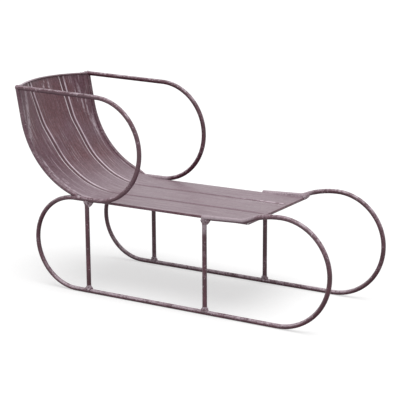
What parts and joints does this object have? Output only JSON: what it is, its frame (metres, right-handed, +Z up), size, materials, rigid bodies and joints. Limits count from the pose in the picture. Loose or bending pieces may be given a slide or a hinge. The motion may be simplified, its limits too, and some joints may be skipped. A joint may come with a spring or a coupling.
{
  "type": "decorative metal sleigh",
  "caption": "Decorative sleigh of welded round rod: looped runners on posts, arm loops, and one bent sheet with pressed grooves as seat and back.",
  "frame": {"origin": "on the floor, under the middle of the overall box", "axes": "+X to the nose with its front arcs, +Y to the left, +Z up"},
  "size_m": [0.6889, 0.2342, 0.3841],
  "materials": {
    "painted_rod": "matte plum-brown paint, rubbed pale on the bends",
    "painted_sheet": "matte plum-brown paint with brushed pale streaks",
    "painted_rim": "matte plum-brown paint, worn along the top",
    "worn_weld": "rough weld metal with thin worn paint"
  },
  "bodies": {
    "root": {"runner_left": "painted_rod", "arm_left": "painted_rod", "back_post_left": "painted_rod", "rear_upright_left": "painted_rod", "front_upright_left": "painted_rod", "runner_right": "painted_rod", "arm_right": "painted_rod", "back_post_right": "painted_rod", "rear_upright_right": "painted_rod", "front_upright_right": "painted_rod", "seat_sheet": "painted_sheet", "back_rim": "painted_rim", "welds_left": "worn_weld", "welds_right": "worn_weld"}
  },
  "joints": []
}
